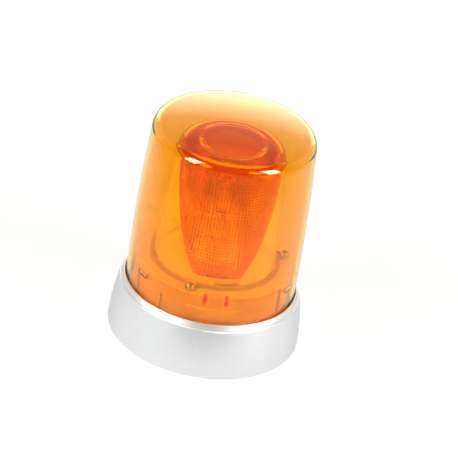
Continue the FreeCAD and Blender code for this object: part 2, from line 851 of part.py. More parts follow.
def make_xenon_tube():
    body = new_body("xenon_tube")
    bend = s.tube_spacing / 2
    path = sketch_on(body, "XZ_Plane", "path")
    low_left = FreeCAD.Vector(-bend.value, tube_foot.value, 0)
    high_left = FreeCAD.Vector(-bend.value, s.tube_bend_height.value, 0)
    crest = FreeCAD.Vector(0, s.tube_bend_height.value + bend.value, 0)
    high_right = FreeCAD.Vector(bend.value, s.tube_bend_height.value, 0)
    low_right = FreeCAD.Vector(bend.value, tube_foot.value, 0)
    left = path.addGeometry(Part.LineSegment(low_left, high_left))
    arch = path.addGeometry(Part.Arc(high_right, crest, high_left))
    right = path.addGeometry(Part.LineSegment(high_right, low_right))
    path.addConstraint(Sketcher.Constraint("Coincident", left, 2, arch, 2))
    path.addConstraint(Sketcher.Constraint("Coincident", arch, 1, right, 1))
    pin_point(path, left, 1, -bend, tube_foot)
    pin_point(path, left, 2, -bend, s.tube_bend_height)
    pin_point(path, right, 1, bend, s.tube_bend_height)
    pin_point(path, right, 2, bend, tube_foot)
    path.addConstraint(Sketcher.Constraint("Angle", arch, math.pi))

    profile = sketch_on(body, "XY_Plane", "glass", tube_foot)
    circle(profile, -bend, ZERO, s.tube_radius)
    circle(profile, -bend, ZERO, s.tube_bore_radius)
    sweep = body.newObject("PartDesign::AdditivePipe", "xenon_tube_sweep")
    sweep.Profile = profile
    sweep.Spine = (path, ["Edge1", "Edge2", "Edge3"])
    body.Tip = sweep
    return body


def make_trigger_wire():
    """Two loops round the tube's legs, the wire that joins them and the lead up from the socket."""
    loop_radius = s.tube_radius + s.trigger_wire_radius + s.running_gap
    height = s.trigger_wire_height
    pieces = []
    for side, x in (("left", s.tube_spacing / -2), ("right", s.tube_spacing / 2)):
        loop = doc.addObject("Part::Torus", f"trigger_loop_{side}")
        bind(loop, "Radius1", loop_radius)
        bind(loop, "Radius2", s.trigger_wire_radius)
        pieces.append(place(loop, x, ZERO, height))
    half = s.tube_spacing / 2 - loop_radius
    bridge = rod("trigger_bridge", s.trigger_wire_radius, half * 2, -half, ZERO, height, toward_right)
    lead = rod("trigger_lead", s.trigger_wire_radius, height - socket_top, z=socket_top)
    return joined("trigger_wire", *pieces, bridge, lead)


def make_tube_leads():
    half = s.tube_spacing / 2
    stem_foot = s.drum_height - s.socket_stem
    leads = []
    for name, x, y in (("left", -half, ZERO), ("right", half, ZERO), ("trigger", ZERO, half)):
        leads.append(rod(f"tube_lead_{name}", s.lead_radius, stem_foot - board_top, x, y, board_top))
    return group("tube_leads", *leads)


def make_circuit_board():
    body = new_body("circuit_board")
    disc = sketch_on(body, "XY_Plane", "disc", s.board_height)
    circle(disc, ZERO, ZERO, s.board_radius)
    padded(body, disc, s.board_thickness)
    hole = sketch_on(body, "XY_Plane", "hole", board_top, s.screw_angle)
    circle(hole, s.board_pillar_circle, ZERO, s.board_screw_radius + s.snug_gap)
    repeated(body, pocketed(body, hole, s.board_thickness))
    return body


def make_board_pillars():
    body = new_body("board_pillars")
    post = sketch_on(body, "XY_Plane", "post", floor_top, s.screw_angle)
    circle(post, s.board_pillar_circle, ZERO, s.board_pillar_radius)
    circle(post, s.board_pillar_circle, ZERO, s.board_screw_radius + s.snug_gap)
    repeated(body, padded(body, post, s.board_height - floor_top))
    return body


def make_board_screws():
    foot = board_top - s.board_screw_length
    head_radius = s.board_screw_head_radius
    head_height = s.board_screw_head_height
    screws = []
    for step in range(FOLD):
        x, y = around(s.board_pillar_circle, s.screw_angle, step)
        shank = rod(f"board_screw_shank_{step}", s.board_screw_radius, s.board_screw_length, x, y, foot)
        head = rod(f"board_screw_head_{step}", head_radius, head_height, x, y, board_top)
        screws.append(joined(f"board_screw_{step}", shank, head))
    return group("board_screws", *screws)


def make_storage_capacitor():
    x, y = s.capacitor_x, s.capacitor_y
    return rod("storage_capacitor", s.capacitor_radius, s.capacitor_height, x, y, board_top)


def make_transformer_core():
    """Two E halves: outer legs, windows and a middle leg twice as wide as an outer one."""
    middle_leg = s.core_leg * 2
    width = s.core_leg * 2 + s.core_window * 2 + middle_leg
    window_height = s.core_height - s.core_leg * 2
    offset = (middle_leg + s.core_window) / 2
    window_low = board_top + s.core_leg
    yoke = block("core_block", width, s.core_depth, s.core_height, s.core_x, s.core_y, board_top)
    windows = []
    for side, x in (("left", s.core_x - offset), ("right", s.core_x + offset)):
        name = f"core_window_{side}"
        windows.append(block(name, s.core_window, s.core_depth, window_height, x, s.core_y, window_low))
    return cut("transformer_core", yoke, *windows)


def make_transformer_winding():
    """Copper on its bobbin, filling the core's windows round the middle leg."""
    middle_leg = s.core_leg * 2
    width = middle_leg + (s.core_window - s.running_gap) * 2
    height = s.core_height - (s.core_leg + s.running_gap) * 2
    low = board_top + s.core_leg + s.running_gap
    hole_width = middle_leg + s.running_gap * 2
    hole_depth = s.core_depth + s.running_gap * 2
    copper = block("winding_block", width, s.winding_depth, height, s.core_x, s.core_y, low)
    hole = block("winding_hole", hole_width, hole_depth, height, s.core_x, s.core_y, low)
    return cut("transformer_winding", copper, hole)


def make_trigger_coil():
    return rod("trigger_coil", s.coil_radius, s.coil_height, s.coil_x, s.coil_y, board_top)


def make_heat_sink():
    """Plate with upright fins on its back, drilled for the transistor's screw."""
    plate_middle = s.sink_y + s.sink_plate / 2
    fin_middle = s.sink_y + s.sink_plate + s.sink_fin_depth / 2
    fin_size = (s.sink_fin_thickness, s.sink_fin_depth, s.sink_height)
    pieces = [block("sink_plate", s.sink_width, s.sink_plate, s.sink_height, ZERO, plate_middle, board_top)]
    spacing = (s.sink_width - s.sink_fin_thickness) / (SINK_FINS - 1)
    for fin in range(SINK_FINS):
        x = spacing * (fin - (SINK_FINS - 1) / 2)
        pieces.append(block(f"sink_fin_{fin}", *fin_size, x, fin_middle, board_top))
    hole_radius = s.board_screw_radius + s.snug_gap
    hole = rod("sink_hole", hole_radius, s.sink_plate, ZERO, s.sink_y, transistor_hole_height, toward_back)
    middle_fin_room = block(
        "sink_fin_room",
        s.board_screw_head_radius * 2,
        s.sink_fin_depth,
        s.board_screw_head_radius * 2,
        ZERO,
        fin_middle,
        transistor_hole_height - s.board_screw_head_radius,
    )
    return cut("heat_sink", joined("sink_blank", *pieces), hole, middle_fin_room)


def make_power_transistor():
    """Moulded body on a metal tab against the heat sink, with three leads down to the board."""
    tab_face = s.sink_y - s.transistor_tab
    tab_middle = s.sink_y - s.transistor_tab / 2
    body_middle = tab_face - s.transistor_body / 2
    tab_size = (s.transistor_width, s.transistor_tab, s.transistor_tab_height)
    body_size = (s.transistor_width, s.transistor_body, s.transistor_body_height)
    lead_size = (s.transistor_lead, s.transistor_lead, s.transistor_lift)
    pieces = [
        block("transistor_tab", *tab_size, ZERO, tab_middle, transistor_foot),
        block("transistor_body", *body_size, ZERO, body_middle, transistor_foot),
    ]
    for lead in (-1, 0, 1):
        x = s.transistor_width / 4 * lead
        pieces.append(block(f"transistor_lead_{lead + 1}", *lead_size, x, body_middle, board_top))
    hole_radius = s.board_screw_radius + s.snug_gap
    hole_place = (ZERO, tab_face, transistor_hole_height)
    hole = rod("transistor_hole", hole_radius, s.transistor_tab, *hole_place, toward_back)
    return cut("power_transistor", joined("transistor_blank", *pieces), hole)


def make_transistor_screw():
    face = s.sink_y - s.transistor_tab
    length = s.transistor_tab + s.sink_plate
    head_radius = s.board_screw_head_radius
    head_height = s.board_screw_head_height
    shank_place = (ZERO, face, transistor_hole_height)
    head_place = (ZERO, face - head_height, transistor_hole_height)
    shank = rod("transistor_screw_shank", s.board_screw_radius, length, *shank_place, toward_back)
    head = rod("transistor_screw_head", head_radius, head_height, *head_place, toward_back)
    return joined("transistor_screw", shank, head)


def make_fuse():
    start = s.fuse_y - s.fuse_length / 2
    return rod("fuse", s.fuse_radius, s.fuse_length, s.fuse_x, start, board_top + s.fuse_height, toward_back)


def make_fuse_clips():
    clips = []
    bore_radius = s.fuse_radius + s.snug_gap
    axis_height = board_top + s.fuse_height
    offset = s.fuse_length / 2 - s.clip_length
    for side, middle in (("front", s.fuse_y - offset), ("back", s.fuse_y + offset)):
        spring_size = (s.clip_width, s.clip_length, s.fuse_height + s.fuse_radius / 2)
        spring = block(f"clip_spring_{side}", *spring_size, s.fuse_x, middle, board_top)
        bore_place = (s.fuse_x, middle - s.clip_length / 2, axis_height)
        bore = rod(f"clip_bore_{side}", bore_radius, s.clip_length, *bore_place, toward_back)
        clips.append(cut(f"fuse_clip_{side}", spring, bore))
    return group("fuse_clips", *clips)


def terminal_screw_places():
    for side, offset in (("front", s.terminal_screw_spacing / -2), ("back", s.terminal_screw_spacing / 2)):
        yield side, s.terminal_x, s.terminal_y + offset


def make_terminal_block():
    """Moulded block with a screw well above each wire entry."""
    blank_size = (s.terminal_width, s.terminal_length, s.terminal_height)
    blank = block("terminal_blank", *blank_size, s.terminal_x, s.terminal_y, board_top)
    well_radius = s.terminal_screw_radius + s.snug_gap
    wells = []
    for side, x, y in terminal_screw_places():
        name = f"terminal_well_{side}"
        wells.append(rod(name, well_radius, s.terminal_well_depth, x, y, terminal_well_foot))
    return cut("terminal_block", blank, *wells)


def make_terminal_screws():
    screws = []
    for side, x, y in terminal_screw_places():
        name = f"terminal_screw_{side}"
        screws.append(rod(name, s.terminal_screw_radius, s.terminal_screw_length, x, y, terminal_well_foot))
    return group("terminal_screws", *screws)


MAKERS = (
    make_base, make_fixing_inserts, make_cable_grommet, make_foot_gasket,
    make_dome, make_dome_seal, make_drum, make_inner_lens, make_lens_carrier, make_lens_screws,
    make_tube_socket, make_tube_electrodes, make_xenon_tube, make_trigger_wire, make_tube_leads,
    make_circuit_board, make_board_pillars, make_board_screws, make_storage_capacitor,
    make_transformer_core, make_transformer_winding, make_trigger_coil,
    make_heat_sink, make_power_transistor, make_transistor_screw,
    make_fuse, make_fuse_clips, make_terminal_block, make_terminal_screws,
)

pieces = [maker() for maker in MAKERS]
doc.recompute()

for thing in doc.Objects:
    if {"Invalid", "Error"} & set(thing.State):
        raise RuntimeError(f"{thing.Name} did not build: {thing.State}")
for piece in pieces:
    if piece.Shape.isNull() or not piece.Shape.isValid():
        raise RuntimeError(f"{piece.Label} has no valid shape")

os.makedirs("parts", exist_ok=True)
for piece in pieces:
    piece.Shape.exportStep(f"parts/{piece.Label}.step")
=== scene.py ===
import math

import bmesh
import bpy
from mathutils import Matrix, Vector


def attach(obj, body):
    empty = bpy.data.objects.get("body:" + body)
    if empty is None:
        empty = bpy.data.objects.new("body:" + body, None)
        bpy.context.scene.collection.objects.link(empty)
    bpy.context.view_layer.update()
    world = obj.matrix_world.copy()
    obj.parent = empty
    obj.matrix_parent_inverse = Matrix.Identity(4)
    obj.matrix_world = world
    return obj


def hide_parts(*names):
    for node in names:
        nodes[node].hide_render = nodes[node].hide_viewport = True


# A round signal beacon: satin silver base, amber dome, gridded amber lens in a clear carrier.
# Lengths of the part are millimetres and become metres in the meshes; lengths of the studio are metres.
# Angles among the values below are degrees. The front of the beacon faces -Y.

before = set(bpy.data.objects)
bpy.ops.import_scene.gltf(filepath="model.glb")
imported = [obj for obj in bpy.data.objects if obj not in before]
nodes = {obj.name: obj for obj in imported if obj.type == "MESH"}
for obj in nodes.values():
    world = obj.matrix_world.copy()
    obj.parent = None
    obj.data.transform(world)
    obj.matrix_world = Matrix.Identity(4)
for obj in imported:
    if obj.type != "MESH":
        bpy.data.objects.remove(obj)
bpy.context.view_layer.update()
scene = bpy.context.scene
MM = 0.001
FULL_TURN = 2 * math.pi
FOLD = 3  # lugs and lens screws come in threes

# Meshes: points nearer than the weld become one, and edges above the sharp angle stay sharp
WELD = 0.001
SHARP_ANGLE = 35.0

# Dome
DOME_FOOT_RADIUS = 66.0
DOME_FOOT = 39.5
DOME_TOP = 182.9
DOME_WALL = 3.0
WALL_CURVE = 1450.0
SHOULDER_RADIUS = 62.9
SHOULDER_ROUND = 8.0
CROWN_CURVE = 380.0
LUG_REACH = 61.0
LUG_TOP = 63.2
LUG_THICKNESS = 3.0
LUG_SPAN = 9.0
LUG_ANGLE = 97.0
LUG_EDGE = 0.3
DOME_COLUMNS = 192
WALL_STEPS = 24
SHOULDER_STEPS = 12
CROWN_STEPS = 16
ON_BORE = 0.1  # a point this near to the bore is on the inner face
ROUNDING = 1e-4  # room for rounding where two angles in radians are compared

# Amber lens: cap with an eye, and two gridded tongues
LENS_FOOT_RADIUS = 47.5
LENS_TOP_RADIUS = 41.0
LENS_FOOT = 68.0
LENS_TOP = 166.0
LENS_ROUND = 10.0
LENS_WALL = 2.8
EYE_RADIUS = 24.0
EYE_DEPTH = 3.0
EYE_SLOPE = 7.0
TONGUE_TOP = 154.0
TONGUE_FOOT = 74.0
NOTCH_ANGLE = 276.0
NOTCH_FOOT_REACH = 43.6
NOTCH_TOP_REACH = 14.2
FLUTES = 110
FLUTE_TURN = FULL_TURN / FLUTES
RINGS = 33
RING_LEAN_TOP = 0.05
RING_LEAN_FOOT = 0.35
GROOVE_SHARE = 0.16
GROOVE_DEPTH = 0.5
GAP_COLUMNS = 24
EYE_STEPS = 12
CAP_OUTER_STEPS = 12
CAP_INNER_STEPS = 10
LEAST_TURN = 0.002  # a column nearer to a tongue's edge, in radians, is left out

# Screws that hold the lens carrier
SCREW_CIRCLE = 56.0
SCREW_ANGLE = 16.0
SCREW_FOOT = 25.2
SCREW_SEAT = 68.0
SCREW_RADIUS = 2.0
HEAD_RADIUS = 3.8
HEAD_HEIGHT = 2.6
HEAD_ROUND = 1.4
RECESS_REACH = 2.4
RECESS_HALF_WIDTH = 0.55
RECESS_DEPTH = 1.2
RECESS_TAPER = 0.6  # share of its depth that the recess loses towards the ends of its arms
SCREW_COLUMNS = 64
HEAD_STEPS = 6
RECESS_STEPS = 10

# Drum: two blind windows in its front, with a painted red glow inside them up to just under the drum's top,
# in place of the amber light the recesses gather
DRUM_RADIUS = 60.5
WINDOW_FOOT = 57.4
PAINTED_GLOW_TOP = 64.9
PAINTED_GLOW_INSET = 0.8
PAINTED_GLOW_FADE = 0.5
# colour of the painted red glow in the window recesses
PAINTED_WINDOW_GLOW = (0.85, 0.22, 0.03)

# Material detail: scales are counts per metre, depths are millimetres
NOISE_DETAIL = 3.0
NOISE_SPAN = (0.3, 0.7)  # the noise is mostly between these
SOAK_DEPTH = 2.0
SOLID_ROUGH_SCALE = 150.0
SOLID_GRAIN_DEPTH = 0.1
CLEAR_COLOUR_SCALE = 25.0
CLEAR_ROUGH = (0.0, 0.03)
CLEAR_ROUGH_SCALE = 80.0
CLEAR_GRAIN_SCALE = 40.0
CLEAR_GRAIN = 0.02
CLEAR_GRAIN_DEPTH = 0.05

# Floor: a white sheet of limited reach, as gloss sees it
WHITE = (1, 1, 1, 1)
FLOOR_HALF_WIDTH = 3.0
FLOOR_DARK = (0.89, 0.89, 0.89)
FLOOR_LIGHT = (0.91, 0.91, 0.91)
FLOOR_SCALE = 4.0
FLOOR_ROUGHNESS = 0.9
FLOOR_GLOW = 0.65
SHEET_MIDDLE = (0.08, 0.25, 0.0)
SHEET_REACH = 0.40
SHEET_FADE = 0.16
SHEET_SHADE = 0.75

# Room: the backdrop ends by the upward and backward parts of a direction of length 1
ROOM_LIGHT = 0.08
BACKDROP_TOP = 0.80
BACKDROP_TOP_FADE = 0.05
BACKDROP_SIDE_FADE = 0.45
CEILING_LIGHT = 0.35
CEILING_RISE = 72.0
CEILING_SPREAD = 41.0
CEILING_FADE = 0.08  # of the cosine, to each side of the spread

# Lamps: azimuths are from the front, to the right
LAMP_AIM = (0.0, 0.0, 0.1)
LAMP_DISTANCE = 1.6
SOFTBOX_AZIMUTHS = {"softbox_left": -52.0, "softbox_right": 62.0}
SOFTBOX_RISE = 30.0
SOFTBOX_SIZE = (0.5, 1.2)
SOFTBOX_POWER = 31.0
PANEL_AZIMUTH = 180.0
PANEL_RISE = 17.0
PANEL_SIZE = (2.0, 0.75)
PANEL_POWER = 20.0
PANEL_FADE_START = 0.2

# Camera, as fitted to the outline in the photo
CAMERA_LENS = 220.9
CAMERA_SENSOR = 36.0
CAMERA_DISTANCE = 2.15705
CAMERA_RISE = 30.39
CAMERA_ROLL = 9.76
CAMERA_TARGET = (0.00753, 0.0, 0.09029)


def add_mesh(name, points, faces, material):
    """A smooth mesh object from points in millimetres; points in one place become one."""
    mesh = bpy.data.meshes.new(name)
    mesh.from_pydata([(x * MM, y * MM, z * MM) for x, y, z in points], [], faces)
    shape = bmesh.new()
    shape.from_mesh(mesh)
    bmesh.ops.remove_doubles(shape, verts=shape.verts, dist=WELD * MM)
    shape.to_mesh(mesh)
    shape.free()
    mesh.polygons.foreach_set("use_smooth", [True] * len(mesh.polygons))
    mesh.set_sharp_from_angle(angle=math.radians(SHARP_ANGLE))
    mesh.materials.append(material)
    thing = bpy.data.objects.new(name, mesh)
    scene.collection.objects.link(thing)
    return thing


def spread(first, last, steps):
    """Even values from first to last, both among them."""
    return [first + (last - first) * step / steps for step in range(steps + 1)]


def even_angles(count):
    return spread(0.0, FULL_TURN, count)[:-1]


def arc(centre, radius, start, end, steps):
    """Points on a round stretch, angles in radians."""
    return [(centre[0] + radius * math.cos(angle), centre[1] + radius * math.sin(angle))
            for angle in spread(start, end, steps)]


def around(radius, angle, height):
    return radius * math.cos(angle), radius * math.sin(angle), height


def turned(outline, angles, shape_at=None):
    """Turns an outline of (radius, height) about the axis: its points, faces and rows of point numbers.

    shape_at may change the radius and height of a point by its angle."""
    points = []
    rows = []
    for radius, height in outline:
        row = []
        for angle in angles:
            place = shape_at(radius, height, angle) if shape_at else (radius, height)
            row.append(len(points))
            points.append(around(place[0], angle, place[1]))
        rows.append(row)
    faces = []
    for row, above in zip(rows, rows[1:]):
        faces += strip(row, above)
    return points, faces, rows


def strip(row, above):
    """Faces of a closed band between two rows of points."""
    return [(row[step - 1], row[step], above[step], above[step - 1]) for step in range(len(row))]


# Shader nodes

def new_material(name):
    """A new material, its node tree and its Principled shader."""
    material = bpy.data.materials.new(name)
    material.use_nodes = True
    tree = material.node_tree
    return material, tree, tree.nodes["Principled BSDF"]


def object_place(tree):
    return tree.nodes.new("ShaderNodeTexCoord").outputs["Object"]


def noise(tree, scale):
    texture = tree.nodes.new("ShaderNodeTexNoise")
    texture.inputs["Scale"].default_value = scale
    texture.inputs["Detail"].default_value = NOISE_DETAIL
    tree.links.new(object_place(tree), texture.inputs["Vector"])
    return texture.outputs["Fac"]


def ramp(tree, value, low, high, start, end):
    """A value that goes from start to end while the given one goes from low to high."""
    mapped = tree.nodes.new("ShaderNodeMapRange")
    mapped.inputs["From Min"].default_value = low
    mapped.inputs["From Max"].default_value = high
    mapped.inputs["To Min"].default_value = start
    mapped.inputs["To Max"].default_value = end
    tree.links.new(value, mapped.inputs["Value"])
    return mapped.outputs["Result"]


def combine(tree, operation, first, second):
    """One number from two, such as their product or the larger one."""
    result = tree.nodes.new("ShaderNodeMath")
    result.operation = operation
    tree.links.new(first, result.inputs[0])
    tree.links.new(second, result.inputs[1])
    return result.outputs[0]


def measure(tree, operation, place, fixed):
    """Outputs of a vector node for a place and a fixed vector, such as the distance between them."""
    result = tree.nodes.new("ShaderNodeVectorMath")
    result.operation = operation
    result.inputs[1].default_value = fixed
    tree.links.new(place, result.inputs[0])
    return result.outputs


def mix_shaders(tree, share, first, second):
    """Gives the surface two shaders: the second by the given share, and the first for the rest."""
    mix = tree.nodes.new("ShaderNodeMixShader")
    tree.links.new(share, mix.inputs[0])
    tree.links.new(first.outputs[0], mix.inputs[1])
    tree.links.new(second.outputs[0], mix.inputs[2])
    tree.links.new(mix.outputs[0], tree.nodes["Material Output"].inputs["Surface"])


def vary_colour(tree, surface, dark, light, scale):
    shades = tree.nodes.new("ShaderNodeValToRGB")
    for stop, position, colour in zip(shades.color_ramp.elements, NOISE_SPAN, (dark, light)):
        stop.position = position
        stop.color = (*colour, 1)
    tree.links.new(noise(tree, scale), shades.inputs["Fac"])
    tree.links.new(shades.outputs["Color"], surface.inputs["Base Color"])


def vary_roughness(tree, surface, rough, scale):
    smoothest, roughest = rough
    level = ramp(tree, noise(tree, scale), 0.0, 1.0, smoothest, roughest)
    tree.links.new(level, surface.inputs["Roughness"])


def add_grain(tree, surface, scale, strength, depth):
    bump = tree.nodes.new("ShaderNodeBump")
    bump.inputs["Strength"].default_value = strength
    bump.inputs["Distance"].default_value = depth * MM
    tree.links.new(noise(tree, scale), bump.inputs["Height"])
    tree.links.new(bump.outputs["Normal"], surface.inputs["Normal"])


# Materials: each is a Principled surface with procedural colour, roughness and grain

def solid(name, dark, light, rough, metal=0.0, grain=0.1, colour_scale=60.0, grain_scale=900.0,
          soak=0.0, edge=1.0):
    """Paint, plastic or metal between two colours and two roughnesses.

    soak lets light under the surface, and edge is how bright metal gets at its edges."""
    material, tree, surface = new_material(name)
    surface.inputs["Metallic"].default_value = metal
    surface.inputs["Specular Tint"].default_value = (edge, edge, edge, 1)
    surface.inputs["Subsurface Weight"].default_value = soak
    surface.inputs["Subsurface Scale"].default_value = SOAK_DEPTH * MM
    vary_colour(tree, surface, dark, light, colour_scale)
    vary_roughness(tree, surface, rough, SOLID_ROUGH_SCALE)
    add_grain(tree, surface, grain_scale, grain, SOLID_GRAIN_DEPTH)
    return material


def see_through(name, pale, deep, shade, bend=1.5, haze=0.0):
    """Clear or tinted plastic or glass: bends light, and lets the lamps through in the tint of its shade."""
    material, tree, surface = new_material(name)
    surface.inputs["Transmission Weight"].default_value = 1.0 - haze
    surface.inputs["IOR"].default_value = bend
    vary_colour(tree, surface, deep, pale, CLEAR_COLOUR_SCALE)
    vary_roughness(tree, surface, CLEAR_ROUGH, CLEAR_ROUGH_SCALE)
    add_grain(tree, surface, CLEAR_GRAIN_SCALE, CLEAR_GRAIN, CLEAR_GRAIN_DEPTH)
    tint = tree.nodes.new("ShaderNodeBsdfTransparent")
    tint.inputs["Color"].default_value = (*shade, 1)
    rays = tree.nodes.new("ShaderNodeLightPath")
    mix_shaders(tree, rays.outputs["Is Shadow Ray"], surface, tint)
    return material


AMBER = see_through(
    "amber_plastic", pale=(0.95, 0.57, 0.004), deep=(0.94, 0.54, 0.003), shade=(0.99, 0.75, 0.2))
LENS_AMBER = see_through(
    "lens_amber", pale=(0.91, 0.42, 0.02), deep=(0.88, 0.38, 0.015), shade=(0.98, 0.68, 0.25))
CLEAR = see_through(
    "clear_plastic", pale=(0.98, 0.97, 0.95), deep=(0.96, 0.95, 0.92), shade=(0.98, 0.97, 0.95),
    bend=1.4, haze=0.1)
GLASS = see_through(
    "tube_glass", pale=(0.97, 0.97, 0.98), deep=(0.94, 0.95, 0.96), shade=(0.97, 0.97, 0.98), bend=1.47)
SILVER = solid(
    "silver_paint", (0.76, 0.765, 0.77), (0.785, 0.79, 0.795), (0.45, 0.48), metal=0.9, grain=0.015,
    colour_scale=300.0, grain_scale=1500.0, edge=0.5)
DRUM = solid("drum_plastic", (0.43, 0.30, 0.22), (0.48, 0.34, 0.26), (0.40, 0.50), soak=0.8)
RUBBER = solid("black_rubber", (0.02, 0.02, 0.02), (0.04, 0.04, 0.04), (0.65, 0.80), grain=0.2)
BRASS = solid("brass", (0.66, 0.48, 0.20), (0.76, 0.57, 0.27), (0.25, 0.40), metal=1.0)
ZINC = solid("zinc_steel", (0.62, 0.60, 0.52), (0.72, 0.70, 0.62), (0.14, 0.24), metal=1.0)
NICKEL = solid("nickel", (0.66, 0.65, 0.62), (0.74, 0.73, 0.70), (0.22, 0.32), metal=1.0)
COPPER = solid("copper", (0.72, 0.38, 0.22), (0.82, 0.47, 0.30), (0.30, 0.42), metal=1.0)
CERAMIC = solid("ceramic", (0.80, 0.77, 0.71), (0.86, 0.84, 0.79), (0.45, 0.60))
LAMINATE = solid("board_laminate", (0.04, 0.15, 0.07), (0.07, 0.21, 0.10), (0.35, 0.50))
SLEEVE = solid("capacitor_sleeve", (0.03, 0.04, 0.09), (0.05, 0.06, 0.13), (0.25, 0.35))
FERRITE = solid("ferrite", (0.06, 0.06, 0.065), (0.10, 0.10, 0.105), (0.55, 0.70))
RESIN = solid("coil_resin", (0.09, 0.06, 0.04), (0.14, 0.10, 0.07), (0.30, 0.45))
SINK = solid("sink_aluminium", (0.55, 0.56, 0.57), (0.64, 0.65, 0.66), (0.32, 0.45), metal=1.0)
BLACK = solid("black_plastic", (0.02, 0.02, 0.022), (0.04, 0.04, 0.042), (0.40, 0.55))
GREEN = solid("terminal_plastic", (0.05, 0.24, 0.12), (0.08, 0.31, 0.16), (0.40, 0.52))


def paint_window_glow(material, painted_glow):
    """Paints a red glow, standing in for amber light gathered in the recesses, on what lies deeper than the
    drum's face at the height of its windows.

    The walls of the slot in the drum's top are among it."""
    tree = material.node_tree
    place = object_place(tree)
    split = tree.nodes.new("ShaderNodeSeparateXYZ")
    tree.links.new(place, split.inputs[0])
    height = split.outputs["Z"]
    flat = measure(tree, "MULTIPLY", place, (1, 1, 0))["Vector"]
    reach = measure(tree, "DISTANCE", flat, (0, 0, 0))["Value"]
    painted_glow_radius = DRUM_RADIUS - PAINTED_GLOW_INSET
    deep = ramp(tree, reach, painted_glow_radius * MM, (painted_glow_radius + PAINTED_GLOW_FADE) * MM, 1.0, 0.0)
    above = ramp(tree, height, (WINDOW_FOOT - PAINTED_GLOW_FADE) * MM, WINDOW_FOOT * MM, 0.0, 1.0)
    below = ramp(tree, height, PAINTED_GLOW_TOP * MM, (PAINTED_GLOW_TOP + PAINTED_GLOW_FADE) * MM, 1.0, 0.0)
    at_windows = combine(tree, "MULTIPLY", above, below)
    tint = tree.nodes.new("ShaderNodeMixRGB")
    tint.inputs["Color2"].default_value = (*painted_glow, 1)
    tree.links.new(combine(tree, "MULTIPLY", deep, at_windows), tint.inputs["Fac"])
    base_colour = tree.nodes["Principled BSDF"].inputs["Base Color"]
    tree.links.new(base_colour.links[0].from_socket, tint.inputs["Color1"])
    tree.links.new(tint.outputs["Color"], base_colour)


# Painted red glow in the drum's window recesses, in place of the amber light they gather
paint_window_glow(DRUM, PAINTED_WINDOW_GLOW)

NODE_MATERIALS = {
    "base_housing": SILVER,
    "dome_seal": RUBBER,
    "chassis_drum": DRUM,
    "lens_carrier": CLEAR,
    "xenon_tube": GLASS,
    "tube_electrodes": NICKEL,
    "trigger_wire": NICKEL,
    "tube_socket": CERAMIC,
    "tube_leads": COPPER,
    "circuit_board": LAMINATE,
    "board_pillars": BRASS,
    "board_screws": ZINC,
    "storage_capacitor": SLEEVE,
    "transformer_core": FERRITE,
    "transformer_winding": COPPER,
    "trigger_coil": RESIN,
    "heat_sink": SINK,
    "power_transistor": BLACK,
    "transistor_screw": ZINC,
    "fuse": GLASS,
    "fuse_clips": NICKEL,
    "terminal_block": GREEN,
    "terminal_screws": ZINC,
    "fixing_inserts": BRASS,
    "cable_grommet": RUBBER,
    "foot_gasket": RUBBER,
}
for node_name, material in NODE_MATERIALS.items():
    mesh = nodes[node_name].data
    mesh.materials.clear()
    mesh.materials.append(material)


# Dome: wall, shoulder and crown arcs run into each other, and the inner face is parallel to the outer one

def dome_arcs():
    """Centres of the three arcs and the two angles where they meet."""
    shoulder_reach = SHOULDER_RADIUS - SHOULDER_ROUND
    crown_centre = (0.0, DOME_TOP - CROWN_CURVE)
    lean = math.asin(shoulder_reach / (CROWN_CURVE - SHOULDER_ROUND))
    shoulder = (shoulder_reach, crown_centre[1] + (CROWN_CURVE - SHOULDER_ROUND) * math.cos(lean))
    foot = (DOME_FOOT_RADIUS, DOME_FOOT)
    across = (shoulder[0] - foot[0], shoulder[1] - foot[1])
    span = math.hypot(*across)
    near = (span * span + WALL_CURVE ** 2 - (WALL_CURVE - SHOULDER_ROUND) ** 2) / (2 * span)
    aside = math.sqrt(WALL_CURVE ** 2 - near ** 2)
    along = (across[0] / span, across[1] / span)
    wall = (foot[0] + along[0] * near - along[1] * aside, foot[1] + along[1] * near + along[0] * aside)
    wall_end = math.atan2(shoulder[1] - wall[1], shoulder[0] - wall[0])
    return wall, shoulder, crown_centre, wall_end, math.pi / 2 - lean


def dome_outline(inset):
    """A face of the dome from its foot to the axis, set in from the outer one."""
    wall, shoulder, crown, wall_end, shoulder_end = dome_arcs()
    wall_start = math.asin((DOME_FOOT - wall[1]) / (WALL_CURVE - inset))
    points = arc(wall, WALL_CURVE - inset, wall_start, wall_end, WALL_STEPS)
    points += arc(shoulder, SHOULDER_ROUND - inset, wall_end, shoulder_end, SHOULDER_STEPS)[1:]
    points += arc(crown, CROWN_CURVE - inset, shoulder_end, math.pi / 2, CROWN_STEPS)[1:]
    points[-1] = (0.0, points[-1][1])
    return points


def dome_bore(height):
    """Inside radius of the dome's wall."""
    wall = dome_arcs()[0]
    return wall[0] + math.sqrt((WALL_CURVE - DOME_WALL) ** 2 - (height - wall[1]) ** 2)


def inner_outline():
    """The dome's inner face from the top down, with rows at the upper and lower edges of the lugs."""
    lug_foot = LUG_TOP - LUG_THICKNESS
    heights = (LUG_TOP + LUG_EDGE, LUG_TOP, lug_foot, lug_foot - LUG_EDGE)
    rows = [point for point in dome_outline(DOME_WALL) if not heights[3] < point[1] < heights[0]]
    rows += [(dome_bore(height), height) for height in heights]
    return sorted(rows, key=lambda point: -point[1])


def dome_angles():
    """Columns round the dome: even ones, and a pair at each side edge of a lug."""
    half = math.radians(LUG_SPAN) / 2
    edge = LUG_EDGE / LUG_REACH
    angles = even_angles(DOME_COLUMNS)
    for lug in range(FOLD):
        middle = math.radians(LUG_ANGLE) + FULL_TURN * lug / FOLD
        angles += [(middle + turn) % FULL_TURN for turn in (-half - edge, -half, half, half + edge)]
    return sorted(angles)


